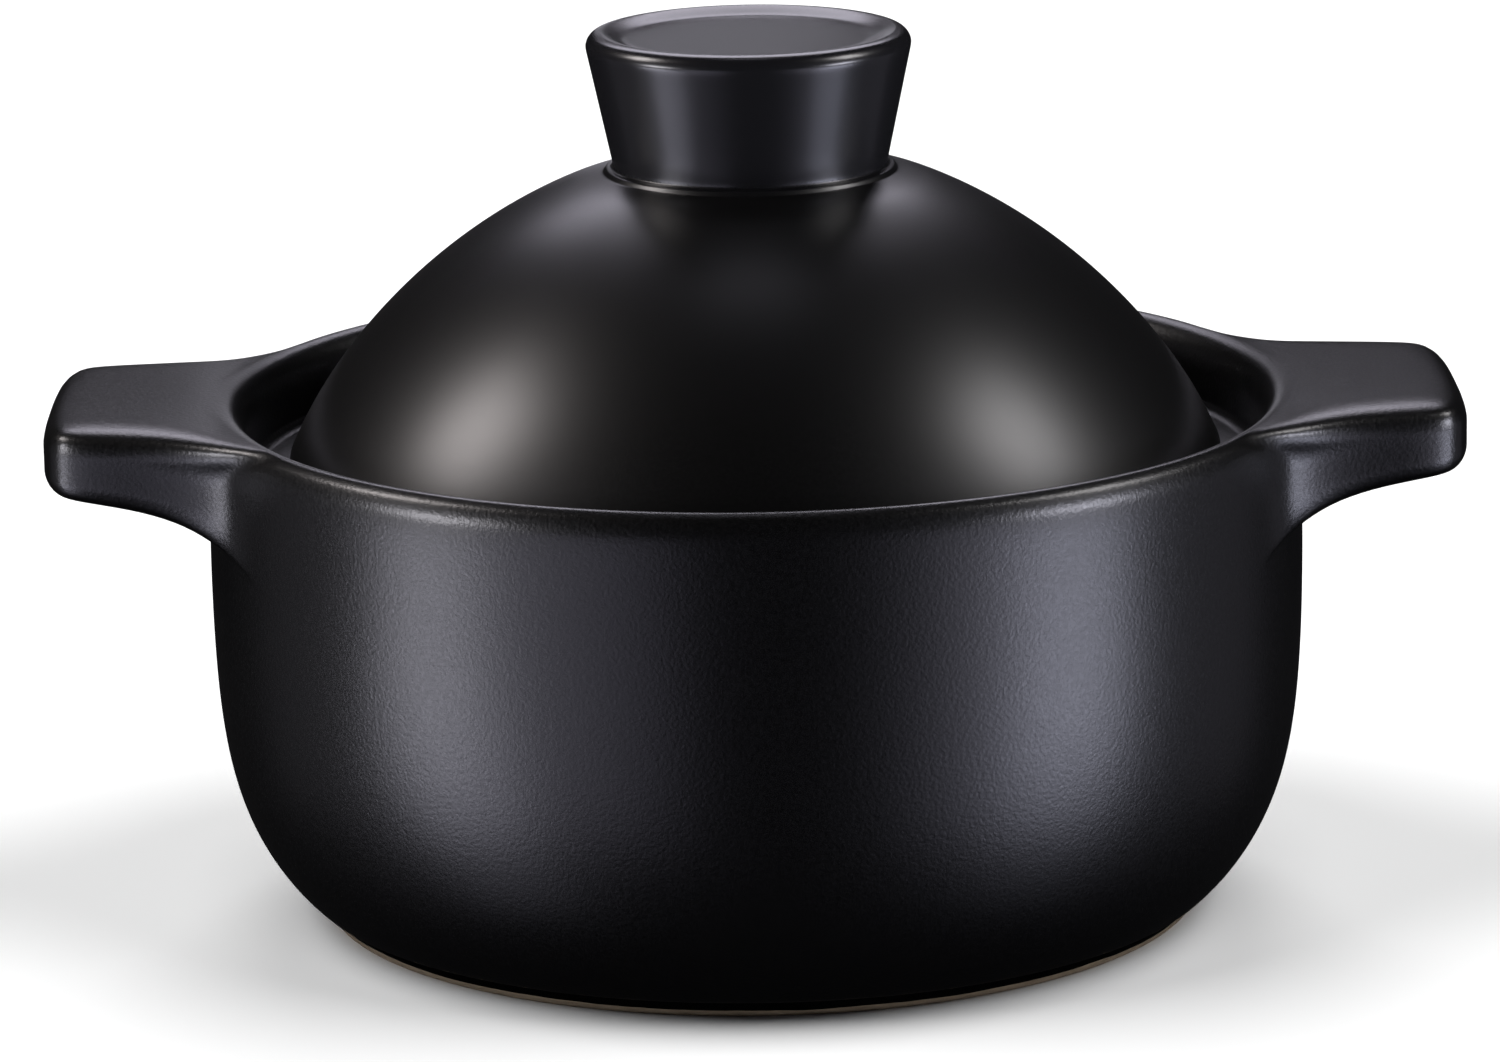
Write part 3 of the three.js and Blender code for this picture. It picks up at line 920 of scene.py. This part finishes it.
@dataclass(frozen=True)
class WipedClay:
    """Bare buff clay, with a dark glaze above a slightly uneven line.

    Attributes:
        name: Name of the material.
        clay: The clay's lighter colour.
        dark_clay: Its darker colour.
        glaze: Colour of the glaze.
        line_height: Height of the glaze's edge.
        line_swing: How far the edge rises and falls.
        clay_roughness: Roughness of the clay.
        glaze_roughness: Roughness of the glaze.
        swing_scale: Scale of the edge's rise and fall.
        speck_scale: Scale of the clay's specks.
        grain_scale: Scale of the grain.
        grain_height: Height of the grain.
    """

    SWING_SPAN: ClassVar[Pair] = (0.3, 0.7)

    name: str
    clay: Colour = (0.60, 0.48, 0.36)
    dark_clay: Colour = (0.44, 0.34, 0.245)
    glaze: Colour = (0.0014, 0.0014, 0.0016)
    line_height: float = 0.00105
    line_swing: float = 0.00014
    clay_roughness: float = 0.85
    glaze_roughness: float = 0.36
    swing_scale: float = 60.0
    speck_scale: float = 700.0
    grain_scale: float = 1400.0
    grain_height: float = 0.00006

    def material(self, skin: SkinGroup) -> bpy.types.Material:
        """Makes the clay and its glaze line.

        Args:
            skin: The shared group for fired surfaces.

        Returns:
            A new material.
        """
        material = bpy.data.materials.new(self.name)
        material.use_nodes = True
        tree = material.node_tree
        group = skin.place(tree, self.swing_scale, self.speck_scale, self.grain_scale)
        swing = (self.line_height - self.line_swing, self.line_height + self.line_swing)
        line = ramp(tree, group.outputs["Drift"], self.SWING_SPAN, swing)
        above = tree.nodes.new("ShaderNodeMath")
        above.operation = "GREATER_THAN"
        tree.links.new(own_height(tree), above.inputs[0])
        tree.links.new(line, above.inputs[1])
        body = colour_mix(tree, self.dark_clay, self.clay)
        tree.links.new(group.outputs["Fleck"], body.inputs["Factor"])
        coat = colour_mix(tree, self.clay, self.glaze)
        tree.links.new(above.outputs["Value"], coat.inputs["Factor"])
        tree.links.new(body.outputs["Result"], coat.inputs["A"])
        sheen = (self.clay_roughness, self.glaze_roughness)
        shader = tree.nodes["Principled BSDF"]
        tree.links.new(coat.outputs["Result"], shader.inputs["Base Color"])
        tree.links.new(ramp(tree, above.outputs["Value"], (0.0, 1.0), sheen), shader.inputs["Roughness"])
        tree.links.new(emboss(tree, group.outputs["Peel"], self.grain_height), shader.inputs["Normal"])
        return material


def bearing(azimuth: float, elevation: float) -> Vector:
    """A direction from the pot, with azimuth from the viewer towards +X and elevation above the table."""
    a, e = math.radians(azimuth), math.radians(elevation)
    return Vector((math.sin(a) * math.cos(e), -math.cos(a) * math.cos(e), math.sin(e)))


@dataclass(frozen=True)
class SoftBox:
    """A rectangular studio light that faces a point.

    Attributes:
        name: Name of the light.
        azimuth: Its bearing from the point.
        elevation: Its height above the point, as an angle.
        distance: How far away it stands.
        width: Its width.
        height: Its height.
        radiance: How bright its face is.
        colour: Its tint.
        aim: The point that it faces.
    """

    name: str
    azimuth: float
    elevation: float
    distance: float
    width: float
    height: float
    radiance: float
    colour: Colour
    aim: tuple[float, float, float] = (0.0, 0.0, 0.09)

    def build(self) -> bpy.types.Object:
        """Places the light.

        Returns:
            The new light object.
        """
        lamp = bpy.data.lights.new(self.name, "AREA")
        lamp.shape = "RECTANGLE"
        lamp.size = self.width
        lamp.size_y = self.height
        lamp.energy = self.radiance * math.pi * self.width * self.height
        lamp.color = self.colour
        light = bpy.data.objects.new(self.name, lamp)
        bpy.context.scene.collection.objects.link(light)
        out = bearing(self.azimuth, self.elevation)
        light.location = Vector(self.aim) + out * self.distance
        light.rotation_euler = out.to_track_quat("Z", "Y").to_euler()
        light.visible_camera = False
        return light


@dataclass(frozen=True)
class TableLamp:
    """A soft, far lamp for the table alone.

    Attributes:
        name: Name of the lamp.
        azimuth: Its bearing from the pot.
        elevation: Its height above the table, as an angle.
        spread: How wide it looks from the pot.
        strength: How much it lights the table.
    """

    name: str
    azimuth: float
    elevation: float
    spread: float
    strength: float

    def build(self) -> bpy.types.Object:
        """Places the lamp.

        Returns:
            The new light object.
        """
        lamp = bpy.data.lights.new(self.name, "SUN")
        lamp.energy = self.strength
        lamp.angle = math.radians(self.spread)
        light = bpy.data.objects.new(self.name, lamp)
        bpy.context.scene.collection.objects.link(light)
        out = bearing(self.azimuth, self.elevation)
        light.rotation_euler = out.to_track_quat("Z", "Y").to_euler()
        return light


@dataclass
class Studio:
    """Pale table, soft boxes and the camera of the photograph.

    Attributes:
        camera_place: Where the camera stands.
        camera_aim: The point that it looks at.
        camera_roll: How far it is turned about its own axis.
        camera_reach: How far it sees.
        lens: Its focal length in millimetres.
        sensor: Width of its sensor in millimetres.
        table_size: Length of the table's sides.
        table_drop: How far it lies below the foot.
        table_colour: Its colour.
        table_roughness: Its roughness.
        table_lamps: Lamps that light the table alone.
        dim: How bright the room is that the glaze mirrors.
        boxes: Lights for the pot and its lid.
    """

    camera_place: tuple[float, float, float] = (-0.0119, -1.3644, 0.3985)
    camera_aim: tuple[float, float, float] = (-0.0012, 0.0, 0.0689)
    camera_roll: float = -0.97
    camera_reach: float = 20.0
    lens: float = 181.4
    sensor: float = 36.0
    table_size: float = 6.0
    table_drop: float = 0.0001
    table_colour: Colour = (0.92, 0.92, 0.92)
    table_roughness: float = 0.9
    table_lamps: tuple[TableLamp, ...] = (
        TableLamp("left_table_lamp", -79.5, 52.6, 46.0, 2.4),
        TableLamp("right_table_lamp", 79.5, 52.6, 46.0, 2.4),
        TableLamp("back_table_lamp", 180.0, 34.7, 28.0, 1.15),
    )
    dim: float = 0.005
    boxes: tuple[SoftBox, ...] = (
        SoftBox("left_box", -94.0, 38.0, 1.3, 0.38, 0.42, 15.0, (1.06, 0.99, 0.98)),
        SoftBox("right_box", 85.0, 39.0, 1.3, 0.38, 0.42, 12.4, (1.02, 0.99, 1.0)),
        SoftBox("top_box", 180.0, 82.0, 1.3, 0.36, 0.22, 1.2, (1.0, 0.98, 1.12)),
        SoftBox("back_box", 183.0, 38.0, 1.0, 0.72, 0.26, 3.5, (1.02, 0.98, 1.13)),
        SoftBox("high_back_box", 180.5, 52.0, 1.2, 0.62, 0.28, 4.4, (1.02, 0.98, 1.12)),
        SoftBox("low_back_box", 182.0, 4.5, 1.5, 0.22, 0.42, 0.72, (1.0, 0.98, 1.1)),
        SoftBox("left_panel", -67.5, 7.0, 1.3, 0.42, 0.26, 20.8, (1.0, 0.98, 1.05)),
        SoftBox("right_panel", 67.0, 7.0, 1.3, 0.42, 0.26, 20.8, (0.98, 0.98, 1.12)),
        SoftBox("left_upper_panel", -70.5, -14.6, 1.3, 0.52, 0.18, 7.8, (0.99, 0.98, 1.12)),
        SoftBox("right_upper_panel", 65.5, -14.6, 1.3, 0.55, 0.18, 8.6, (0.96, 0.98, 1.20)),
        SoftBox("left_low_panel", -63.5, -22.5, 1.3, 0.52, 0.24, 3.5, (0.99, 0.98, 1.18)),
        SoftBox("right_low_panel", 62.0, -22.5, 1.3, 0.52, 0.24, 2.7, (0.96, 0.98, 1.22)),
        SoftBox("left_lower_panel", -60.0, -37.0, 1.3, 0.50, 0.40, 0.42, (0.99, 0.98, 1.22)),
        SoftBox("right_lower_panel", 63.0, -37.0, 1.3, 0.50, 0.40, 0.2, (0.96, 0.98, 1.24)),
        SoftBox("left_side_fill", -108.0, -12.0, 1.3, 0.60, 0.60, 0.1, (1.0, 0.97, 1.12)),
        SoftBox("right_side_fill", 108.0, -12.0, 1.3, 0.64, 0.60, 0.13, (1.0, 0.97, 1.16)),
        SoftBox("left_fill", -44.0, -14.0, 1.3, 0.50, 0.60, 1.0, (1.0, 0.97, 1.22)),
        SoftBox("right_fill", 46.0, -14.0, 1.3, 0.48, 0.60, 1.0, (1.0, 0.97, 1.22)),
        SoftBox("left_front_fill", -26.0, -14.0, 1.3, 0.34, 0.60, 0.65, (1.0, 0.97, 1.26)),
        SoftBox("right_front_fill", 29.0, -14.0, 1.3, 0.24, 0.60, 0.22, (1.0, 0.97, 1.26)),
    )

    def camera(self) -> bpy.types.Object:
        """Sets up the camera.

        Returns:
            The scene's camera.
        """
        data = bpy.data.cameras.new("photo_camera")
        data.sensor_width = self.sensor
        data.lens = self.lens
        data.clip_end = self.camera_reach
        camera = bpy.data.objects.new("photo_camera", data)
        bpy.context.scene.collection.objects.link(camera)
        place = Vector(self.camera_place)
        look = (Vector(self.camera_aim) - place).to_track_quat("-Z", "Y").to_matrix()
        roll = Matrix.Rotation(math.radians(self.camera_roll), 3, "Z")
        camera.matrix_world = Matrix.LocRotScale(place, (look @ roll).to_quaternion(), None)
        bpy.context.scene.camera = camera
        return camera

    def table(self) -> bpy.types.Object:
        """Lays the pale, matt table and lights it from both sides and from behind.

        Returns:
            The table, which the glaze doesn't mirror: the panels reach below its edge.
        """
        bm = bmesh.new()
        bmesh.ops.create_grid(bm, x_segments=1, y_segments=1, size=self.table_size / 2.0)
        bmesh.ops.translate(bm, vec=-self.table_drop * UP, verts=bm.verts)
        mesh = bpy.data.meshes.new("pale_table")
        bm.to_mesh(mesh)
        bm.free()
        material = bpy.data.materials.new("pale_table")
        material.use_nodes = True
        shader = material.node_tree.nodes["Principled BSDF"]
        shader.inputs["Base Color"].default_value = (*self.table_colour, 1.0)
        shader.inputs["Roughness"].default_value = self.table_roughness
        shader.inputs["Specular IOR Level"].default_value = 0.0
        mesh.materials.append(material)
        table = bpy.data.objects.new("pale_table", mesh)
        bpy.context.scene.collection.objects.link(table)
        table.visible_glossy = False
        table.visible_shadow = False
        lit = bpy.data.collections.new("lit_by_table_lamps")
        lit.objects.link(table)
        for lamp in self.table_lamps:
            lamp.build().light_linking.receiver_collection = lit
        return table

    def world(self) -> None:
        """Sets a dim, even surrounding behind a white backdrop."""
        world = bpy.data.worlds.new("dim_studio")
        world.use_nodes = True
        tree = world.node_tree
        path = tree.nodes.new("ShaderNodeLightPath")
        tone = colour_mix(tree, (self.dim, self.dim, self.dim), WHITE)
        tree.links.new(path.outputs["Is Camera Ray"], tone.inputs["Factor"])
        tree.links.new(tone.outputs["Result"], tree.nodes["Background"].inputs["Color"])
        bpy.context.scene.world = world

    def build(self, shaded: bpy.types.Object) -> None:
        """Sets up camera, table, lights and view.

        Args:
            shaded: A piece close to the table, which takes only the light that the table throws back.
        """
        self.camera()
        self.world()
        spared = bpy.data.collections.new("spared_by_boxes")
        for item in (self.table(), shaded):
            spared.objects.link(item)
        for entry in spared.collection_objects:
            entry.light_linking.link_state = "EXCLUDE"
        for box in self.boxes:
            box.build().light_linking.receiver_collection = spared
        bpy.context.scene.view_settings.view_transform = "Standard"


def main() -> None:
    """Builds the pot and the studio, and logs each piece's count of cage faces."""
    logging.basicConfig(level=logging.INFO, format="%(name)s: %(message)s")
    skin = SkinGroup()
    clay = WipedClay("wiped_clay")
    pot_glaze = Glaze("pot_glaze_satin")
    # The lid's glaze carries a painted sheen, a lighter colour on the knob above 0.138 m, where it is also
    # glossier.
    lid_glaze = Glaze("lid_glaze_satin", roughness=(0.34, 0.36), peel_height=0.000003, painted_sheen_and_gloss_from=0.138)
    foot = TurnedFoot().build(clay.material(skin))
    pot = GlazedPot().build(pot_glaze.material(skin))
    lid = GlazedLid().build(lid_glaze.material(skin))
    Studio().build(foot)
    for piece in (pot, foot, lid):
        LOG.info("%s: %d cage faces", piece.name, len(piece.data.polygons))


if __name__ == "__main__":
    main()
